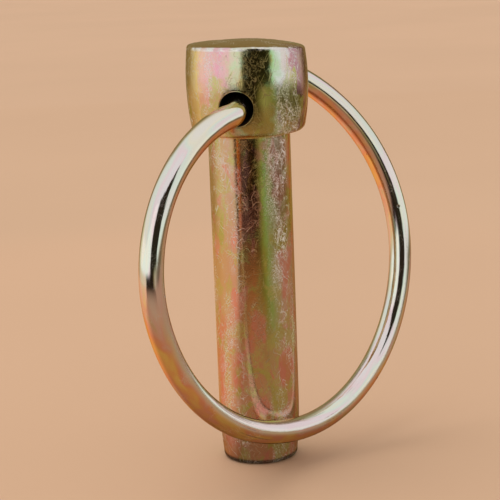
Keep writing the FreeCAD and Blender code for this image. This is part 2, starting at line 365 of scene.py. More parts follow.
def screen(name, radius, low, high, panels=72):
    """An upright round wall, open at its top."""
    turns = [math.tau * i / panels for i in range(panels)]
    corners = [(radius * math.cos(t), radius * math.sin(t), z) for t in turns for z in (low, high)]
    faces = [(2 * i, 2 * i + 1, (2 * i + 3) % (2 * panels), (2 * i + 2) % (2 * panels))
             for i in range(panels)]
    mesh = bpy.data.meshes.new(name)
    mesh.from_pydata(corners, [], faces)
    item = bpy.data.objects.new(name, mesh)
    bpy.context.scene.collection.objects.link(item)
    return item


studio_screen = only_reflected(screen("studio_screen", SCREEN_RADIUS, SCREEN_FOOT, CEILING_HEIGHT))
studio_screen.data.materials.append(glowing("studio_screen", screen_colour))
studio_screen.rotation_euler.z = camera_side
print("screen stops:", len(LOW_LIGHT), "below the horizon,", len(HIGH_LIGHT), "above it")

# %% [markdown]
# ## Ceiling seen in reflections
#
# The ring's upper side and the head's edge look up. A ceiling closes the round wall above them: white
# over the viewer, and dimmer and warmer towards the back, as where a lamp's light falls off.

# %% Ceiling seen in reflections
CEILING_WHITE, CEILING_BACK = (0.84, 0.83, 0.82), (0.40, 0.33, 0.22)
CEILING_DIMS = (0.10, 0.40)


def ceiling_colour(tree):
    """White that turns dim and warm towards the back."""
    _, y, _ = coordinates(tree)
    return blended(tree, steps(tree, y, *CEILING_DIMS), CEILING_WHITE, CEILING_BACK)


ceiling = only_reflected(disc("studio_ceiling", SCREEN_RADIUS, CEILING_HEIGHT))
ceiling.data.materials.append(glowing("studio_ceiling", ceiling_colour))
ceiling.rotation_euler.z = camera_side
print("ceiling at, m:", CEILING_HEIGHT)

# %% [markdown]
# ## Lights
#
# What lights the floor and the dull marks is a very wide sun, high and a little to the left, so the
# part's shadow is soft and falls to the right. An even world fills the rest. The sun is kept out of
# the reflections, where it would show as one more white patch.

# %% Lights
WARM_WHITE = (1.0, 0.98, 0.96)
SUN_FROM = Vector((-0.32, 0.12, 1.0))
SUN_ENERGY, SUN_WIDTH, WORLD_ENERGY = 0.95, 50, 0.70

soft_sun = bpy.data.lights.new("soft_sun", "SUN")
soft_sun.energy = SUN_ENERGY
soft_sun.angle = math.radians(SUN_WIDTH)
soft_sun.color = WARM_WHITE
sun = bpy.data.objects.new("soft_sun", soft_sun)
bpy.context.scene.collection.objects.link(sun)
sun.rotation_euler = SUN_FROM.to_track_quat("Z", "Y").to_euler()
sun.visible_glossy = False
world = bpy.data.worlds.new("studio")
bpy.context.scene.world = world
world.use_nodes = True
world.node_tree.nodes["Background"].inputs[0].default_value = (*WARM_WHITE, 1)
world.node_tree.nodes["Background"].inputs[1].default_value = WORLD_ENERGY
bpy.context.scene.view_settings.view_transform = "Standard"
print("sun %.2f over %d degrees, world %.2f" % (SUN_ENERGY, SUN_WIDTH, WORLD_ENERGY))

# %% [markdown]
# ## The pin's outline
#
# The pin is turned and forged round one axis, so its shape starts as an outline in a plane: flat tip,
# rounded edge, eased lead-in, shank, small fillet under the head, the head's rounded lower edge,
# its barrel side, rim and slightly domed top. The sizes are the drawing's. Each rounding is the path
# of a small ball that rolls inside a corner, so its centre is found where two offset curves meet.

# %% Sizes of the pin
mounts = {mount["name"]: mount for mount in frame["record"]["mounts"]}
swing = frame["joints"][0]
hinge_point = Vector(swing["pos_m"])
hinge_line = -Vector(swing["axis"]).normalized()
pin_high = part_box("pin")[1]
shank_r = mounts["shank"]["dims"]["r_mm"] * MM
shank_top = mounts["head_seat"]["pos_m"][2]
head_r = pin_high.x
head_top = 56.8 * MM
lead_length = 8.5 * MM
lead_drop = 0.5 * MM
tip_round = 0.7 * MM
neck_round = 0.3 * MM
belly_height = 7.0 * MM
belly_radius = 36.0 * MM
head_lower_round = 1.2 * MM
head_rim_round = 0.4 * MM
head_dome = 0.15 * MM
hole_r = 2.2 * MM
mouth_round = 0.2 * MM
pin_front = camera_side
print("shank radius %.2f mm, head radius %.2f mm" % (shank_r / MM, head_r / MM))

# %% Outline
def arc(centre, radius, start, end, count):
    """Points of an arc in the outline's plane, after its first one."""
    turns = [start + (end - start) * i / count for i in range(1, count + 1)]
    return [centre + Vector((math.cos(t), math.sin(t))) * radius for t in turns]


def line(start, end, count):
    """Points of a line, after its first one."""
    return [start + (end - start) * i / count for i in range(1, count + 1)]


def turn_of(vector):
    """A plane vector's turn from the outline's first axis."""
    return math.atan2(vector.y, vector.x)


def ball_centre(centre, radius, ball, height):
    """Centre of a ball that rolls inside an arc, where it is at this height."""
    return Vector((centre.x + math.sqrt((radius - ball) ** 2 - (height - centre.y) ** 2), height))


lead_radius = (lead_length ** 2 + lead_drop ** 2) / (2 * lead_drop)
lead_centre = Vector((shank_r - lead_radius, lead_length))
belly_centre = Vector((head_r - belly_radius, shank_top + belly_height))
rim_r = ball_centre(belly_centre, belly_radius, 0, head_top).x
dome_radius = (rim_r ** 2 + head_dome ** 2) / (2 * head_dome)
dome_centre = Vector((0, head_top + head_dome - dome_radius))

tip_ball = ball_centre(lead_centre, lead_radius, tip_round, tip_round)
neck_ball = Vector((shank_r + neck_round, shank_top - neck_round))
lower_ball = ball_centre(belly_centre, belly_radius, head_lower_round, shank_top + head_lower_round)

apart = dome_centre - belly_centre
reach_1 = belly_radius - head_rim_round
reach_2 = dome_radius - head_rim_round
along = (reach_1 ** 2 - reach_2 ** 2 + apart.length ** 2) / (2 * apart.length)
across = math.sqrt(reach_1 ** 2 - along ** 2)
straight = apart.normalized()
rim_ball = belly_centre + straight * along + Vector((-straight.y, straight.x)) * across

tip_turn = turn_of(tip_ball - lead_centre)
low_turn = turn_of(lower_ball - belly_centre)
high_turn = turn_of(rim_ball - belly_centre)
rim_turn = turn_of(rim_ball - dome_centre)
right_angle = math.pi / 2
rows = line(Vector((0, 0)), Vector((tip_ball.x, 0)), 10)
rows += arc(tip_ball, tip_round, -right_angle, tip_turn, 9)
rows += arc(lead_centre, lead_radius, tip_turn, 0, 38)
rows += line(Vector((shank_r, lead_length)), Vector((shank_r, shank_top - neck_round)), 176)
rows += arc(neck_ball, neck_round, 2 * right_angle, right_angle, 5)
rows += line(Vector((neck_ball.x, shank_top)), Vector((lower_ball.x, shank_top)), 4)
rows += arc(lower_ball, head_lower_round, -right_angle, low_turn, 12)
rows += arc(belly_centre, belly_radius, low_turn, high_turn, 54)
rows += arc(rim_ball, head_rim_round, high_turn, rim_turn, 8)
rows += arc(dome_centre, dome_radius, rim_turn, right_angle, 24)
rows = rows[:-1]
print("outline rows:", len(rows), "top at %.2f mm" % (rows[-1].y / MM))

# %% [markdown]
# ## The pin's surface
#
# A lathe would give a perfect body and a boolean cut would leave long thin faces round the hole. Here
# the surface is laid out instead: a grid of rows and columns, with a square block left out at
# each mouth of the cross hole. Rings of faces run from the block's square edge to the round mouth,
# over its small rounded lip, and down the bore to the other mouth, so all faces there are clean quads.

# %% Places on the hole
hole_up = hinge_line.cross(Vector((1, 0, 0)))
hole_up = hole_up if hole_up.z > 0 else -hole_up


def side_radius(height):
    """Radius of the head's side at a height."""
    if height > lower_ball.y + head_lower_round * math.sin(low_turn):
        return belly_centre.x + math.sqrt(belly_radius ** 2 - (height - belly_centre.y) ** 2)
    return lower_ball.x + math.sqrt(head_lower_round ** 2 - (height - lower_ball.y) ** 2)


def on_side(turn, height):
    """A point of the head's side."""
    radius = side_radius(height)
    return Vector((radius * math.cos(turn), radius * math.sin(turn), height))


def breakthrough(away, turn, end):
    """Where a line beside the hole's axis leaves the head. end is -1 at the front, 1 at the back."""
    start = hinge_point + (Vector((1, 0, 0)) * math.cos(turn) + hole_up * math.sin(turn)) * away
    inside, outside = 0.0, 1.5 * head_r
    for _ in range(40):
        middle = (inside + outside) / 2
        point = start + hinge_line * middle * end
        if math.hypot(point.x, point.y) < side_radius(max(point.z, shank_top + 0.01 * MM)):
            inside = middle
        else:
            outside = middle
    return start + hinge_line * inside * end


print("mouths at, mm:", [round(breakthrough(0, 0, end).z / MM, 2) for end in (-1, 1)])

# %% Pin grid
columns = 240
block_half_columns, block_half_rows = 15, 16
side_margin = 1 * MM
pin_points, pin_in_hole = [], []


def keep(point, share=0.0):
    """Stores a vertex with its share of the hole, and gives its number."""
    pin_points.append(point)
    pin_in_hole.append(share)
    return len(pin_points) - 1


def mouth_block(end, middle_column):
    """First and last column and row of the block left out round one mouth."""
    mouth = breakthrough(0, 0, end).z
    side_rows = [j for j, row in enumerate(rows) if row.x > shank_r + side_margin]
    middle_row = min(side_rows, key=lambda j: abs(rows[j].y - mouth))
    return (middle_column - block_half_columns, middle_column + block_half_columns,
            middle_row - block_half_rows, middle_row + block_half_rows)


def pin_grid(blocks):
    """Numbers of the grid's vertices by row and column, and its faces with a fan at each end."""
    number, faces = {}, []
    for j, row in enumerate(rows):
        for i in range(columns):
            if any(a < i < b and c < j < d for a, b, c, d in blocks):
                continue
            turn = math.tau * i / columns
            number[j, i] = keep(Vector((row.x * math.cos(turn), row.x * math.sin(turn), row.y)))
    for j in range(len(rows) - 1):
        for i in range(columns):
            if any(a <= i < b and c <= j < d for a, b, c, d in blocks):
                continue
            k = (i + 1) % columns
            faces.append((number[j, i], number[j, k], number[j + 1, k], number[j + 1, i]))
    tip = keep(Vector((0, 0, 0)))
    top = keep(Vector((0, 0, head_top + head_dome)))
    last = len(rows) - 1
    for i in range(columns):
        k = (i + 1) % columns
        faces.append((tip, number[0, k], number[0, i]))
        faces.append((top, number[last, i], number[last, k]))
    return number, faces


front_block = mouth_block(-1, columns * 3 // 4)
rear_block = mouth_block(1, columns // 4)
grid, pin_faces = pin_grid([front_block, rear_block])
print("grid:", len(pin_points), "points,", len(pin_faces), "faces")

# %% [markdown]
# ## The mouths and the bore
#
# Each block's square edge and the round mouth have the same number of points, so rings of quads can
# run from one to the other along the head's side. The next rings roll over the small lip, and the
# last ones line the bore. Both mouths are walked in the same sense, so their points pair up.

# %% Mouths of the hole
lip_rings, apron_rings = 5, 6
apron_ease = 0.85


def block_edge(end, block):
    """Rows and columns round a block's square edge, in the same sense at both mouths."""
    a, b, c, d = block
    edge = [(c, i) for i in range(a, b)] + [(j, b) for j in range(c, d)]
    edge += [(d, i) for i in range(b, a, -1)] + [(j, a) for j in range(d, c, -1)]
    return [(j, a + b - i) for j, i in edge] if end > 0 else edge


def mouth_rings(end, block):
    """Faces from a block's edge over the lip, and the ring of vertices where the bore starts."""
    edge = block_edge(end, block)
    rings = [[grid[place] for place in edge]]
    offsets = [pin_points[number] - hinge_point for number in rings[0]]
    turns = [math.atan2(offset.dot(hole_up), offset.x) for offset in offsets]
    lip = [breakthrough(hole_r + mouth_round, turn, end) for turn in turns]
    for k in range(1, apron_rings + 1):
        share = 1 - (1 - k / apron_rings) ** apron_ease
        ring = []
        for (j, i), point in zip(edge, lip):
            turn = math.tau * i / columns
            lip_turn = math.atan2(point.y, point.x) % math.tau
            ring.append(keep(on_side(turn + (lip_turn - turn) * share,
                                     rows[j].y + (point.z - rows[j].y) * share)))
        rings.append(ring)
    for k in range(1, lip_rings + 1):
        lean = right_angle * k / lip_rings
        away = hole_r + mouth_round * (1 - math.sin(lean))
        depth = mouth_round * (1 - math.cos(lean))
        rings.append([keep(breakthrough(away, turn, end) - hinge_line * end * depth, k / lip_rings)
                      for turn in turns])
    faces = []
    for outer, inner in zip(rings, rings[1:]):
        for k in range(len(outer)):
            n = (k + 1) % len(outer)
            quad = (outer[k], inner[k], inner[n], outer[n])
            faces.append(quad[::-1] if end < 0 else quad)
    return faces, rings[-1]


front_faces, front_ring = mouth_rings(-1, front_block)
rear_faces, rear_ring = mouth_rings(1, rear_block)
pin_faces += front_faces + rear_faces
print("points round each mouth:", len(front_ring), len(rear_ring))

# %% Bore
bore_rings = 36


def bore_wall(front, rear):
    """Faces of the bore from one mouth's last ring to the other's."""
    faces, before = [], front
    for k in range(1, bore_rings + 1):
        ring = rear
        if k < bore_rings:
            ring = []
            for first, second in zip(front, rear):
                point = pin_points[first].lerp(pin_points[second], k / bore_rings)
                offset = point - hinge_point
                offset -= hinge_line * offset.dot(hinge_line)
                point += offset * (hole_r / offset.length - 1)
                ring.append(keep(point, 1.0))
        for i in range(len(ring)):
            n = (i + 1) % len(ring)
            faces.append((before[n], ring[n], ring[i], before[i]))
        before = ring
    return faces


pin_faces += bore_wall(front_ring, rear_ring)
print("pin:", len(pin_points), "points,", len(pin_faces), "faces")

# %% [markdown]
# ## A forging's unevenness
#
# A forged head is never quite round: it has shallow dents, a rim chipped by use, and a top that runs
# down a little towards one side. A displacement modifier could do the dents alone. A short function
# that moves each vertex does all three, and it can leave the tip flat, so the pin still stands.

# %% Unevenness of the pin
HEAD_ROUGHENS = (44.5, 46.5)
RIM_CHIPS_FROM, RIM_CHIPS_OUT = (56.0, 56.5), (6.9, 7.6)
FOOT_CHIPS_FROM, FOOT_CHIPS_OUT = (0.9, 0.3), (3.9, 4.7)
CHIP_DEPTH = 0.10
TOP_DROP, TOP_CURVE, TOP_REACH = 0.72, 1.6, 8.1
TOP_DROPS = (50.0, 56.4)


def smooth(value, low, high):
    """A smooth step from 0 at low to 1 at high."""
    share = min(max((value - low) / (high - low), 0.0), 1.0)
    return share * share * (3 - 2 * share)


def forge(point, outward):
    """A point of the pin with a forging's small unevenness. Sizes inside are millimetres."""
    place = point / MM
    head = smooth(place.z, *HEAD_ROUGHENS)
    radius = math.hypot(place.x, place.y)
    long_place = Vector((place.x, place.y, place.z * 0.35))
    bumps = 0.016 * noise.noise(place / 1.9) + 0.026 * noise.noise(place / 4.6 + Vector((9, 2, 5)))
    turned = 0.004 * noise.noise(long_place / 1.3) + 0.010 * noise.noise(long_place / 5.0)
    push = head * bumps + (1 - head) * turned
    rim = smooth(place.z, *RIM_CHIPS_FROM) * smooth(radius, *RIM_CHIPS_OUT)
    foot = smooth(place.z, *FOOT_CHIPS_FROM) * smooth(radius, *FOOT_CHIPS_OUT)
    chips = max(0.0, noise.noise(place / 0.9 + Vector((3, 7, 1))) - 0.05)
    push -= (rim + foot) * CHIP_DEPTH * chips
    low_side = Vector((math.cos(pin_front), math.sin(pin_front), 0))
    share = max(0.0, place.dot(low_side) / TOP_REACH)
    sink = TOP_DROP * share ** TOP_CURVE * smooth(place.z, *TOP_DROPS)
    moved = place + outward * push - Vector((0, 0, sink))
    return Vector((moved.x, moved.y, max(moved.z, 0.0))) * MM


# %% Pin piece
pin_mesh = bpy.data.meshes.new("headed_pin")
pin_mesh.from_pydata(pin_points, [], pin_faces)
pin_mesh.update()
outwards = [normal.vector.copy() for normal in pin_mesh.vertex_normals]
for vertex, outward in zip(pin_mesh.vertices, outwards):
    vertex.co = forge(vertex.co, outward)
pin_mesh.update()
pin_piece = bpy.data.objects.new("headed_pin", pin_mesh)
bpy.context.scene.collection.objects.link(pin_piece)
hole_share = pin_mesh.attributes.new("in_hole", "FLOAT", "POINT")
hole_share.data.foreach_set("value", pin_in_hole)
pin_mesh.shade_smooth()
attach(pin_piece, "pin_body")
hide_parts("pin")
print("top of the pin, mm:", round(max(vertex.co.z for vertex in pin_mesh.vertices) / MM, 2))

# %% [markdown]
# ## The wire's path
#
# The ring is one length of hard wire. From one cropped end it runs out of the hole, bends round a
# tight corner, sweeps down and round in two pairs of arcs, and comes back to the hole from behind.

# %% Sizes of the ring
wire_r = 1.575 * MM
corner_reach = 1.9 * MM
corner_radius = 3.4 * MM
shank_gap = 0.12 * MM
leg_gap = 3.0 * MM
foot_height = 4.95 * MM
foot_shift = 1.4 * MM
foot_turn = 55.9
front_turn, front_rise = 60.5, 10.0
back_turn, back_rise = 209.0, 23.0


def heading(turn, rise):
    """Unit vector at a turn from +X and a climb, in degrees."""
    turn, rise = math.radians(turn), math.radians(rise)
    return Vector((math.cos(rise) * math.cos(turn), math.cos(rise) * math.sin(turn), math.sin(rise)))


def arc_run(start, leaving, end):
    """An arc that leaves start along a heading and reaches end, as a function of the way along it."""
    chord = end - start
    straight = chord.normalized()
    aside = (leaving - straight * leaving.dot(straight)).normalized()
    half = leaving.angle(chord)
    radius = chord.length / 2 / math.sin(half)
    centre = start + (straight * math.sin(half) - aside * math.cos(half)) * radius
    first = start - centre
    second = leaving.normalized() * radius

    def point(way):
        turn = way / radius
        return centre + first * math.cos(turn) + second * math.sin(turn)
    return 2 * half * radius, point


def line_run(start, end):
    """A straight run."""
    way = (end - start).normalized()
    return (end - start).length, lambda along: start + way * along


def arc_pair(start, leaving, end, arriving):
    """Two tangent arcs with equal reach at both ends."""
    gap = end - start
    both = leaving + arriving
    square = 2 * (1 - leaving.dot(arriving))
    linear = 2 * gap.dot(both)
    reach = (math.sqrt(linear ** 2 + 4 * square * gap.dot(gap)) - linear) / (2 * square)
    first = start + leaving * reach
    last = end - arriving * reach
    joint = (first + last) / 2
    return [arc_run(start, leaving, joint), arc_run(joint, (last - first).normalized(), end)]


def corner(end, turn, rise):
    """The wire's bend outside a mouth: where it meets the ring, where it enters the hole."""
    inward = hinge_line * -end
    point = hinge_point + hinge_line * end * (head_r + corner_reach)
    arriving = heading(turn, rise)
    reach = corner_radius * math.tan(arriving.angle(inward) / 2)
    return point - arriving * reach, point + inward * reach, arriving


foot_line = heading(foot_turn, 0)
lean_side = Vector((foot_line.y, -foot_line.x, 0))
foot = lean_side * (shank_r + shank_gap + wire_r) + foot_line * foot_shift
foot.z = foot_height
front_out, front_in, front_heading = corner(-1, front_turn, front_rise)
back_out, back_in, back_heading = corner(1, back_turn, back_rise)
half_gap = hinge_line * leg_gap / 2
runs = [line_run(hinge_point - half_gap, front_in)]
runs.append(arc_run(front_in, -hinge_line, front_out))
runs += arc_pair(front_out, -front_heading, foot, foot_line)
runs += arc_pair(foot, foot_line, back_out, back_heading)
runs.append(arc_run(back_out, back_heading, back_in))
runs.append(line_run(back_in, hinge_point + half_gap))
wire_length = sum(length for length, _ in runs)
print("wire length %.1f mm" % (wire_length / MM))


def wire_at(along):
    """A point of the wire's centre line."""
    for length, point in runs:
        if along <= length:
            return point(along)
        along -= length
    return runs[-1][1](runs[-1][0])


# %% [markdown]
# ## The ring's surface
#
# A curve with a round bevel would make a tube in one line, but it keeps no record of where each point
# is. Here circles are carried along the path, each turned as little as possible from the one before,
# so the faces don't twist. The ends get a small bevel and a flat face, as cropped wire has. Each
# point keeps three numbers for the finish: how far along, where round, and how far it faces up.

# %% Ring mesh
wire_sides = 48
wire_step = 0.26 * MM
wire_bevel = 0.3 * MM


def build_wire():
    """Vertices, faces, and each vertex's place along and round the wire."""
    ways = [0.0, wire_bevel / 2, wire_bevel]
    count = round((wire_length - 2 * wire_bevel) / wire_step)
    ways += [wire_bevel + (wire_length - 2 * wire_bevel) * i / count for i in range(1, count + 1)]
    ways += [wire_length - wire_bevel / 2, wire_length]
    centres = [wire_at(way) for way in ways]
    points, faces, alongs, arounds = [], [], [], []
    sideways = Vector((1, 0, 0))
    for i, (way, centre) in enumerate(zip(ways, centres)):
        before, after = centres[max(i - 1, 0)], centres[min(i + 1, len(centres) - 1)]
        forward = (after - before).normalized()
        sideways = (sideways - forward * sideways.dot(forward)).normalized()
        upright = forward.cross(sideways)
        end_gap = min(way, wire_length - way)
        radius = wire_r - max(0.0, wire_bevel - end_gap)
        for k in range(wire_sides):
            turn = math.tau * k / wire_sides
            points.append(centre + (sideways * math.cos(turn) + upright * math.sin(turn)) * radius)
            alongs.append(way / MM)
            arounds.append(turn)
    for i in range(len(centres) - 1):
        for k in range(wire_sides):
            n = (k + 1) % wire_sides
            base, after = i * wire_sides, (i + 1) * wire_sides
            faces.append((base + k, base + n, after + n, after + k))
    for first, flip in ((0, True), ((len(centres) - 1) * wire_sides, False)):
        middle = len(points)
        points.append(centres[0] if flip else centres[-1])
        alongs.append(alongs[first])
        arounds.append(0.0)
        for k in range(wire_sides):
            n = (k + 1) % wire_sides
            face = (middle, first + k, first + n)
            faces.append(face[::-1] if flip else face)
    return points, faces, alongs, arounds


wire_points, wire_faces, wire_alongs, wire_arounds = build_wire()
print("ring:", len(wire_points), "points,", len(wire_faces), "faces")
ring_mesh = bpy.data.meshes.new("spring_ring")
ring_mesh.from_pydata(wire_points, [], wire_faces)
ring_mesh.update()
ring_piece = bpy.data.objects.new("spring_ring", ring_mesh)
bpy.context.scene.collection.objects.link(ring_piece)
uppers = [normal.vector.z for normal in ring_mesh.vertex_normals]
for name, values in (("along", wire_alongs), ("around", wire_arounds), ("upper", uppers)):
    store = ring_mesh.attributes.new(name, "FLOAT", "POINT")
    store.data.foreach_set("value", values)
ring_mesh.shade_smooth()
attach(ring_piece, "ring_body")
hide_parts("snap_ring")

# %% [markdown]
# ## Plating
#
# Yellow passivated zinc is a mirror under a film a fraction of a thousandth of a millimetre thick.
# Light reflected at the film's two faces meets again and some colours cancel, so the metal goes
# from silver through straw, gold and pink to green as the film thickens, and round again. The film's
# real thickness could be worked out into colours, but listed ramps are easier to steer: places on
# them are shares of a turn round the pin, and 0.5 is the pin's front.

# %% Film colours of the pin
SHANK_FILM = [
    (0.000, 0.70, 0.54, 0.28), (0.110, 0.60, 0.60, 0.28), (0.200, 0.78, 0.52, 0.38),
    (0.265, 0.60, 0.48, 0.24), (0.325, 0.60, 0.46, 0.24), (0.355, 0.66, 0.50, 0.28),
    (0.380, 0.66, 0.50, 0.32), (0.415, 0.66, 0.46, 0.36), (0.435, 0.60, 0.48, 0.30),
    (0.450, 0.54, 0.30, 0.13), (0.500, 0.66, 0.35, 0.14), (0.525, 0.50, 0.40, 0.12),
    (0.545, 0.34, 0.45, 0.09), (0.558, 0.38, 0.62, 0.20), (0.575, 0.48, 0.60, 0.28),
    (0.605, 0.62, 0.52, 0.38), (0.650, 0.70, 0.46, 0.34), (0.720, 0.68, 0.46, 0.27),
    (0.800, 0.58, 0.62, 0.32), (0.900, 0.82, 0.52, 0.42), (1.000, 0.70, 0.54, 0.28),
]
HEAD_FILM = [
    (0.000, 0.74, 0.62, 0.34), (0.120, 0.88, 0.66, 0.56), (0.200, 0.70, 0.78, 0.46),
    (0.265, 0.60, 0.50, 0.24), (0.318, 0.80, 0.64, 0.36), (0.340, 0.84, 0.67, 0.30),
    (0.362, 0.80, 0.50, 0.38), (0.400, 0.78, 0.42, 0.43), (0.432, 0.76, 0.39, 0.47),
    (0.450, 0.74, 0.48, 0.46), (0.464, 0.64, 0.60, 0.44), (0.480, 0.52, 0.66, 0.40),
    (0.494, 0.50, 0.40, 0.15), (0.555, 0.42, 0.42, 0.13), (0.568, 0.44, 0.66, 0.34),
    (0.585, 0.60, 0.70, 0.54), (0.600, 0.74, 0.76, 0.72), (0.618, 0.70, 0.62, 0.62),
    (0.634, 0.48, 0.23, 0.28), (0.680, 0.40, 0.22, 0.25), (0.715, 0.60, 0.42, 0.24),
    (0.800, 0.84, 0.78, 0.48), (0.880, 0.88, 0.62, 0.60), (1.000, 0.74, 0.62, 0.34),
]
print("film stops:", len(SHANK_FILM), "on the shank,", len(HEAD_FILM), "on the head")

# %% [markdown]
# ## Map of the pin
#
# Every mark on the pin depends on the same few things: its height, its distance out, its share of a
# turn, and three noises. `wander` is long and slow and pushes the bands about, `fine` roughens their
# edges, and `speckle` is the grain of the plating. They are made once and shared by all the marks.

# %% Map of the pin
HEAD_STARTS = (45.0, 45.6)
TOP_STARTS = (56.35, 56.75)
BAND_WANDER = 0.075


def scaled(tree, vector, by):
    """A vector times three numbers."""
    return add(tree, "VectorMath", {0: vector, 1: by}, operation="MULTIPLY").outputs[0]


def texture(tree, place, scale, detail=2.0, distortion=0.0, offset=0.0):
    """The value of a noise texture. The offset takes it from another part of the same noise."""
    if offset:
        place = add(tree, "VectorMath", {0: place, 1: (offset, offset * 1.7, offset * 0.6)}).outputs[0]
    return add(tree, "TexNoise", {"Vector": place, "Scale": scale, "Detail": detail,
                                  "Distortion": distortion}).outputs[0]


def wavy(tree, value, level, reach):
    """A value pushed up and down by a noise, by at most half of reach each way."""
    return sums(tree, "MULTIPLY_ADD", sums(tree, "SUBTRACT", level, 0.5), reach, value)


def pin_map(tree):
    """Places on the pin in millimetres and shares of a turn, and its noises."""
    pin = SimpleNamespace()
    pin.place = scaled(tree, add(tree, "TexCoord").outputs["Object"], (1 / MM, 1 / MM, 1 / MM))
    x, y, pin.z = add(tree, "SeparateXYZ", {0: pin.place}).outputs
    pin.out = distance_out(tree, x, y)
    turned = add(tree, "VectorRotate", {"Vector": pin.place, "Angle": -pin_front},
                 rotation_type="Z_AXIS").outputs[0]
    across, forward, _ = add(tree, "SeparateXYZ", {0: turned}).outputs
    share = sums(tree, "MULTIPLY_ADD", turn_round(tree, across, forward), 1 / math.tau, 0.5)
    pin.long_place = scaled(tree, pin.place, (1, 1, 0.30))
    pin.wander = texture(tree, pin.long_place, 0.28, 3.0, 0.6)
    pin.fine = texture(tree, pin.place, 0.75, 4.0)
    pin.speckle = texture(tree, pin.place, 6.0, 3.0)
    pin.share = wavy(tree, share, pin.wander, BAND_WANDER)
    pin.on_head = steps(tree, pin.z, *HEAD_STARTS)
    pin.on_top = steps(tree, pin.z, *TOP_STARTS)
    return pin


# %% [markdown]
# ## Film on the pin
#
# The bands run up the shank and the head, each with its own ramp. Low on its left the head is gold.
# Low on its right it is painted nearly black, a painted dark reflection, and towards its tip the shank
# turns to a dull rose, a painted reflection of the peach floor. Each of these is one more colour laid
# over the bands, with a wavy edge.

# %% Film on the pin
# The head's near-black is a painted dark reflection; the shank's low rose is a painted reflection of the peach
# floor.
HEAD_GOLD, HEAD_DARK_REFLECTION, LOW_FLOOR_REFLECTION = (0.76, 0.60, 0.27), (0.10, 0.085, 0.05), (0.66, 0.40, 0.27)
GOLD_BELOW, DARK_REFLECTION_BELOW, FLOOR_REFLECTION_BELOW = (50.5, 47.0), (52.5, 49.5), (22.0, 13.0)
GOLD_LEFT_OF = (0.47, 0.44)
DARK_REFLECTION_RISES, DARK_REFLECTION_FALLS = (0.575, 0.60), (0.67, 0.69)


def film_colour(tree, pin):
    """The bands of film colour on the shank and on the head, with a painted dark reflection and a painted floor
    reflection laid over them.
    """
    # painted reflection of the peach floor, low on the shank
    low_floor_reflection = steps(tree, wavy(tree, pin.z, pin.fine, 10.0), *FLOOR_REFLECTION_BELOW, 0.0, 0.75)
    shank = blended(tree, low_floor_reflection, ramp(tree, pin.share, SHANK_FILM), LOW_FLOOR_REFLECTION)
    rough_share = wavy(tree, pin.share, pin.fine, 0.06)
    height = wavy(tree, pin.z, pin.wander, 6.0)
    gold = product(tree, steps(tree, height, *GOLD_BELOW), steps(tree, pin.share, *GOLD_LEFT_OF), 0.75)
    # painted dark reflection, low on the head's right
    dark_reflection = product(tree, steps(tree, height, *DARK_REFLECTION_BELOW),
                   band(tree, rough_share, DARK_REFLECTION_RISES, DARK_REFLECTION_FALLS), 0.9)
    head = blended(tree, gold, ramp(tree, rough_share, HEAD_FILM), HEAD_GOLD)
    head = blended(tree, dark_reflection, head, HEAD_DARK_REFLECTION)
    return blended(tree, pin.on_head, shank, head)


# %% [markdown]
# ## Stains on the film
#
# Over the bands lie clouds of green, straw and rose, as where a bath drains and dries unevenly. Each
# is a noise cut off at a level. Green and rose are raised a little towards the tip, where there is
# more of them. The head's top is an even gold.

# %% Stains on the film
GREEN_STAIN, STRAW_STAIN, TOP_GOLD = (0.47, 0.54, 0.12), (0.56, 0.58, 0.20), (0.66, 0.56, 0.30)
HIGH_ROSE_STAIN, LOW_ROSE_STAIN = (0.78, 0.36, 0.34), (0.76, 0.28, 0.25)
GREEN_GATHERS, TIP_GREEN, ROSE_GATHERS = (6.0, 22.0), (3.5, 5.5), (10.0, 34.0)
ROSE_DEEPENS = (32.0, 18.0)
TOP_INSIDE = (7.7, 7.4)


def stained(tree, pin, colour):
    """A colour with green, straw and rose clouds over it, and gold on the head's top."""
    green = texture(tree, scaled(tree, pin.place, (1, 1, 0.62)), 0.26, 3.0, 0.4, 4.0)
    green = sums(tree, "ADD", green, steps(tree, pin.z, *GREEN_GATHERS, 0.04, 0.0))
    green = sums(tree, "ADD", green, steps(tree, pin.z, *TIP_GREEN, 0.05, 0.0))
    green = product(tree, steps(tree, green, 0.55, 0.60),
                    steps(tree, pin.speckle, 0.30, 0.62, 0.45, 1.0), 0.80)
    straw = texture(tree, scaled(tree, pin.place, (1, 1, 0.7)), 0.55, 4.0, 0.3, 31.0)
    straw = product(tree, steps(tree, straw, 0.52, 0.60), steps(tree, pin.speckle, 0.3, 0.6),
                    sums(tree, "MULTIPLY_ADD", pin.on_head, -0.6, 0.8))
    rose = texture(tree, scaled(tree, pin.place, (1, 1, 0.5)), 0.34, 3.0, 0.4, 13.0)
    rose = sums(tree, "ADD", rose, steps(tree, pin.z, *ROSE_GATHERS, 0.045, 0.0))
    rose = product(tree, steps(tree, rose, 0.53, 0.61),
                   sums(tree, "MULTIPLY_ADD", pin.on_head, -0.4, 0.62))
    rose_stain = blended(tree, steps(tree, pin.z, *ROSE_DEEPENS), HIGH_ROSE_STAIN, LOW_ROSE_STAIN)
    top = product(tree, pin.on_top, steps(tree, pin.out, *TOP_INSIDE))
    for share, stain in ((green, GREEN_STAIN), (straw, STRAW_STAIN), (rose, rose_stain), (top, TOP_GOLD)):
        colour = blended(tree, share, colour, stain)
    return colour
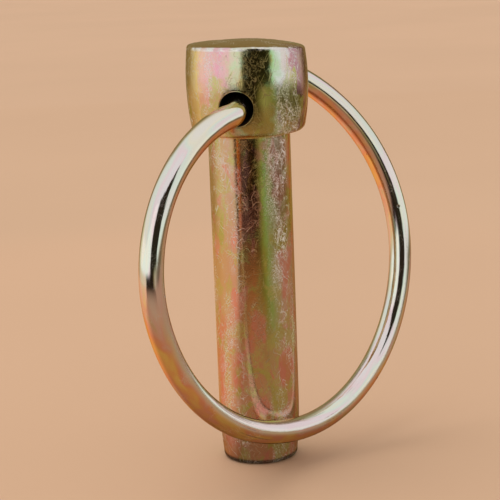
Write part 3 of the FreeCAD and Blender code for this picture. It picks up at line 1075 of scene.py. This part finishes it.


# %% [markdown]
# ## Hair-fine marks
#
# Handling has left scratches as fine as hair, thick in three upright zones and thin elsewhere. In
# those zones and on the left they are pale, a painted glint where they catch the light; elsewhere dull.
# Thousands of curves could be modelled. A line can also be had from a noise: it is drawn wherever
# the noise passes its middle value. Stretched noises at several leans, laid over each other, give a
# net of long marks, a wavy one gives short curls, and a large one gives the few long hairs.

# %% Hair-fine marks
HAIR_ZONES = [
    ((0.555, 0.600), (0.650, 0.69)), ((0.86, 0.89), (0.93, 0.97)), ((0.14, 0.17), (0.22, 0.26)),
]
HAIR_NET = [
    ((0.3, 0.1, 0.0), 0.95, 0.015, 3.0), ((0.9, 0.2, 0.0), 1.15, 0.016, 11.0),
    ((-0.8, 0.3, 0.4), 1.05, 0.015, 17.0), ((0.2, 1.0, 0.8), 1.6, 0.020, 29.0),
    ((-0.3, -0.2, 0.6), 1.45, 0.018, 43.0), ((0.1, -0.9, 0.2), 1.25, 0.017, 37.0),
]
LONG_HAIRS = [
    ((0.7, 0.5, 0.9), 0.42, 0.006, 51.0), ((-0.5, 0.2, 2.2), 0.38, 0.006, 57.0),
    ((0.6, -0.4, 4.0), 0.38, 0.006, 63.0),
]
HAIR_THINS_BELOW = (22.0, 33.0)


def strands(tree, place, lean, scale, width, seed):
    """Lines along one direction, where a stretched noise passes its middle value, in patches."""
    turned = add(tree, "VectorRotate", {"Vector": place, "Rotation": lean},
                 rotation_type="EULER_XYZ").outputs[0]
    level = texture(tree, scaled(tree, turned, (1, 1, 0.24)), scale, 2.0, 0.5, seed)
    gap = sums(tree, "ABSOLUTE", sums(tree, "SUBTRACT", level, 0.5))
    patches = texture(tree, place, 0.55, 1.0, 0.0, seed + 5)
    return product(tree, steps(tree, gap, width * 0.35, width, 1.0, 0.0),
                   steps(tree, patches, 0.44, 0.56))


def pin_hair(tree, pin):
    """The share of hair-fine marks, and the zones where they are thick."""
    zone = highest(tree, *(band(tree, pin.share, *edges) for edges in HAIR_ZONES))
    patch = texture(tree, pin.long_place, 0.5, 2.0, 0.0, 21.0)
    dense = product(tree, zone, steps(tree, patch, 0.40, 0.56, 0.10, 1.0),
                    steps(tree, pin.z, *HAIR_THINS_BELOW, 0.30, 1.0))
    sparse = steps(tree, patch, 0.40, 0.62, 0.03, 0.50)
    net = highest(tree, *(strands(tree, pin.place, *mark) for mark in HAIR_NET))
    net = product(tree, net, highest(tree, dense, sparse))
    curls = texture(tree, scaled(tree, pin.place, (1, 1, 0.45)), 1.9, 2.5, 0.7, 19.0)
    curls = sums(tree, "ABSOLUTE", sums(tree, "SUBTRACT", curls, 0.5))
    curls = product(tree, steps(tree, curls, 0.002, 0.011, 0.9, 0.0), dense,
                    steps(tree, pin.fine, 0.40, 0.60, 0.2, 1.0))
    long_hair = highest(tree, *(strands(tree, pin.place, *mark) for mark in LONG_HAIRS))
    hair = highest(tree, net, curls, product(tree, long_hair, 0.55))
    return product(tree, hair, sums(tree, "SUBTRACT", 1.0, pin.on_top)), zone


# %% [markdown]
# ## Haze and wear
#
# A dusty white bloom lies on the plating in clouds, less of it on the dark band at the front. Edges
# that knock against other metal, the head's rim and the edge of the tip, are worn back to bare grey.
# On the tip's rounded edge that pale line is also a painted highlight.

# %% Haze and wear
DARK_BAND = ((0.435, 0.450), (0.540, 0.550))
RIM_HEIGHT, RIM_OUT = (56.15, 56.40), (7.25, 7.5)
FOOT_HEIGHT, FOOT_OUT = (0.75, 0.35), (4.3, 4.6)


def pin_haze(tree, pin):
    """The share of white bloom."""
    clouds = texture(tree, pin.long_place, 0.33, 3.0, 0.0, 41.0)
    less = sums(tree, "MULTIPLY_ADD", band(tree, pin.share, *DARK_BAND), -0.75, 1.0)
    return product(tree, steps(tree, pin.speckle, 0.42, 0.72), steps(tree, clouds, 0.48, 0.64), less)


def pin_wear_and_highlight(tree, pin):
    """The share of bare metal on the head's rim and the tip's edge, which on the tip's edge is also a painted
    highlight.
    """
    rim = product(tree, steps(tree, pin.z, *RIM_HEIGHT), steps(tree, pin.out, *RIM_OUT))
    # the tip's rounded edge: real wear and a painted highlight
    foot = product(tree, steps(tree, pin.z, *FOOT_HEIGHT), steps(tree, pin.out, *FOOT_OUT))
    return product(tree, highest(tree, rim, foot), steps(tree, pin.fine, 0.35, 0.6, 0.25, 1.0))


# %% [markdown]
# ## Plated steel
#
# The layers meet in one shader. Film, stains, marks, haze and wear are mixed into its colour from the
# bottom up, and with them the painted dark and floor reflections, the painted glint of the marks and
# the painted highlight on the tip's edge. The same shares make the surface rougher where it is hazy or
# scratched, less metallic where a mark is pale and dull, and slightly hollow along the marks, through
# a bump of a few hundredths of a millimetre. The bore is dark, because little light and plating reach
# into it.

# %% Plated steel
# The pale white is the painted glint of the marks and also the white of the bloom; the dull colour is the marks
# where they don't glint.
GLINT_AND_BLOOM_WHITE, DULL_HAIR = (0.84, 0.85, 0.86), (0.36, 0.27, 0.14)
WORN_AND_HIGHLIT_GREY, BORE_DARK = (0.80, 0.78, 0.74), (0.015, 0.012, 0.010)
BORE_STARTS = (0.15, 0.60)
HAIR_GLINTS_LEFT_OF = (0.46, 0.43)


def layered(tree, base, layers, clamp=False):
    """A base value with each layer's mark added to it in its own strength."""
    for mark, strength in layers:
        base = sums(tree, "MULTIPLY_ADD", mark, strength, base, clamp=clamp)
    return base


def bump_of(tree, height, strength, distance):
    """A bump node's normal."""
    return add(tree, "Bump", {"Strength": strength, "Distance": distance, "Height": height}).outputs[0]


def plated_steel():
    """Head and shank: bands and clouds of film colour with painted dark and floor reflections, hair-fine marks
    with a painted glint, haze, and worn edges that at the tip are also a painted highlight.
    """
    material, tree, shader = new_material("plated_steel")
    pin = pin_map(tree)
    hair, zone = pin_hair(tree, pin)
    haze = pin_haze(tree, pin)
    worn_and_highlit = pin_wear_and_highlight(tree, pin)
    bore = steps(tree, add(tree, "Attribute", attribute_name="in_hole").outputs["Fac"], *BORE_STARTS)

    # where the marks are pale: a painted glint, in the thick zones and on the left
    glint_share = highest(tree, zone, steps(tree, pin.share, *HAIR_GLINTS_LEFT_OF))
    colour = stained(tree, pin, film_colour(tree, pin))
    colour = blended(tree, product(tree, hair, 0.9), colour, blended(tree, glint_share, DULL_HAIR, GLINT_AND_BLOOM_WHITE))
    colour = blended(tree, product(tree, haze, 0.65), colour, GLINT_AND_BLOOM_WHITE)
    # bare grey wear, and on the tip's edge also a painted highlight
    colour = blended(tree, worn_and_highlit, colour, WORN_AND_HIGHLIT_GREY)
    colour = blended(tree, bore, colour, BORE_DARK)
    tree.links.new(colour, shader.inputs["Base Color"])

    rough = sums(tree, "MULTIPLY_ADD", pin.speckle, 0.08, 0.085)
    rough = layered(tree, rough, [(haze, 0.18), (hair, 0.25), (worn_and_highlit, 0.10), (bore, 0.5)])
    tree.links.new(rough, shader.inputs["Roughness"])
    metal = layered(tree, 1.0, [(hair, -0.65), (haze, -0.35), (bore, -1.0)], clamp=True)
    tree.links.new(metal, shader.inputs["Metallic"])
    shader.inputs["Specular Tint"].default_value = (0.80, 0.66, 0.42, 1)
    relief = layered(tree, product(tree, pin.fine, 0.8), [(hair, -0.5), (pin.speckle, 0.35)])
    tree.links.new(bump_of(tree, relief, 0.35, 0.03 * MM), shader.inputs["Normal"])
    return material


steel = plated_steel()
pin_mesh.materials.append(steel)
for item in frame["nodes"].values():
    item.data.materials.clear()
    item.data.materials.append(steel)
print("nodes in plated steel:", len(steel.node_tree.nodes))

# %% [markdown]
# ## Plated wire
#
# The ring is drawn wire, smoother than the forged pin. Its plating is silvery where it faces up and
# golden to copper where it faces down, a colour by facing that is partly film and partly a painted
# reflection of the warm floor. The mesh carries three numbers for each point: how far along the wire
# it is, where round the section, and how far it faces up. With them the marks follow the wire round
# its bends: fine draw lines, a broken dark line low in front, pits and a little haze.

# %% Plated wire
RING_TINTS = [
    (0.00, 0.82, 0.78, 0.72), (0.28, 0.84, 0.79, 0.64), (0.48, 0.74, 0.80, 0.70),
    (0.72, 0.84, 0.69, 0.70), (1.00, 0.80, 0.77, 0.76),
]
# Colours where the wire faces down: partly film, partly a painted reflection of the warm floor.
RING_UNDER_GOLDS_AND_REFLECTION = [
    (0.32, 0.90, 0.66, 0.22), (0.43, 0.88, 0.50, 0.20), (0.53, 0.86, 0.42, 0.27),
    (0.60, 0.84, 0.52, 0.38), (0.70, 0.62, 0.56, 0.20),
]
DARK_LINE_COLOUR, PIT_COLOUR = (0.20, 0.16, 0.13), (0.10, 0.07, 0.05)
DARK_LINE_PLACE = ((50, 58), (90, 98))
TINT_STARTS = (-0.30, 0.10)


def wire_map(tree):
    """Places on the wire in millimetres, how far it faces up, and its slow noise."""
    wire = SimpleNamespace()
    wire.along, around, wire.upper = (add(tree, "Attribute", attribute_name=name).outputs["Fac"]
                                      for name in ("along", "around", "upper"))
    wire.place = add(tree, "CombineXYZ", {0: wire.along,
                                          1: product(tree, sums(tree, "COSINE", around), wire_r / MM),
                                          2: product(tree, sums(tree, "SINE", around), wire_r / MM)})
    wire.place = wire.place.outputs[0]
    wire.slow = texture(tree, scaled(tree, wire.place, (0.14, 1, 1)), 0.62, 1.5, 0.2)
    return wire


def wire_film_and_reflection(tree, wire):
    """Silvery tints above, gold and copper below; the gold below is partly a painted floor reflection."""
    tint = ramp(tree, steps(tree, wire.slow, 0.20, 0.80), RING_TINTS)
    gold = ramp(tree, texture(tree, scaled(tree, wire.place, (0.5, 1, 1)), 0.45, 2.0, 0.3, 8.0),
                RING_UNDER_GOLDS_AND_REFLECTION)
    return blended(tree, steps(tree, wavy(tree, wire.upper, wire.slow, 0.5), *TINT_STARTS), gold, tint)


def wire_marks(tree, wire):
    """Shares of the broken dark line, of pits and of haze."""
    # a broken dark line low in front, with a slight groove
    dark_line = texture(tree, scaled(tree, wire.place, (0.020, 1, 1)), 4.0, 1.0, 0.0, 6.0)
    breaks = texture(tree, wire.place, 2.2, 2.0, 0.0, 2.0)
    dark_line = product(tree, steps(tree, dark_line, 0.66, 0.70), steps(tree, breaks, 0.36, 0.50),
                      band(tree, wire.along, *DARK_LINE_PLACE))
    cells = add(tree, "TexVoronoi", {"Vector": wire.place, "Scale": 0.30}, feature="F1").outputs[0]
    pits = steps(tree, cells, 0.05, 0.075, 1.0, 0.0)
    speckle = texture(tree, wire.place, 7.0, 3.0, 0.0, 12.0)
    clouds = texture(tree, wire.place, 0.5, 2.0, 0.0, 15.0)
    return dark_line, pits, product(tree, steps(tree, speckle, 0.50, 0.70), steps(tree, clouds, 0.52, 0.66))


def plated_wire():
    """The ring: polished wire, silvery above and golden below, partly a painted floor reflection, with draw lines
    and pits.
    """
    material, tree, shader = new_material("plated_wire")
    wire = wire_map(tree)
    dark_line, pits, haze = wire_marks(tree, wire)
    draw = texture(tree, scaled(tree, wire.place, (0.05, 1, 1)), 9.0, 2.0, 0.0, 3.0)
    colour = wire_film_and_reflection(tree, wire)
    colour = blended(tree, product(tree, dark_line, 0.75), colour, DARK_LINE_COLOUR)
    colour = blended(tree, product(tree, pits, 0.85), colour, PIT_COLOUR)
    colour = blended(tree, product(tree, haze, 0.4), colour, GLINT_AND_BLOOM_WHITE)
    tree.links.new(colour, shader.inputs["Base Color"])

    rough = layered(tree, 0.05, [(draw, 0.07), (haze, 0.12), (pits, 0.4)])
    tree.links.new(rough, shader.inputs["Roughness"])
    tree.links.new(sums(tree, "MULTIPLY_ADD", haze, -0.25, 1.0), shader.inputs["Metallic"])
    shader.inputs["Specular Tint"].default_value = (0.80, 0.66, 0.44, 1)
    relief = layered(tree, draw, [(pits, -4.0), (dark_line, -1.5)])
    tree.links.new(bump_of(tree, relief, 0.30, 0.02 * MM), shader.inputs["Normal"])
    return material


ring_mesh.materials.append(plated_wire())
print("materials:", [material.name for material in bpy.data.materials])
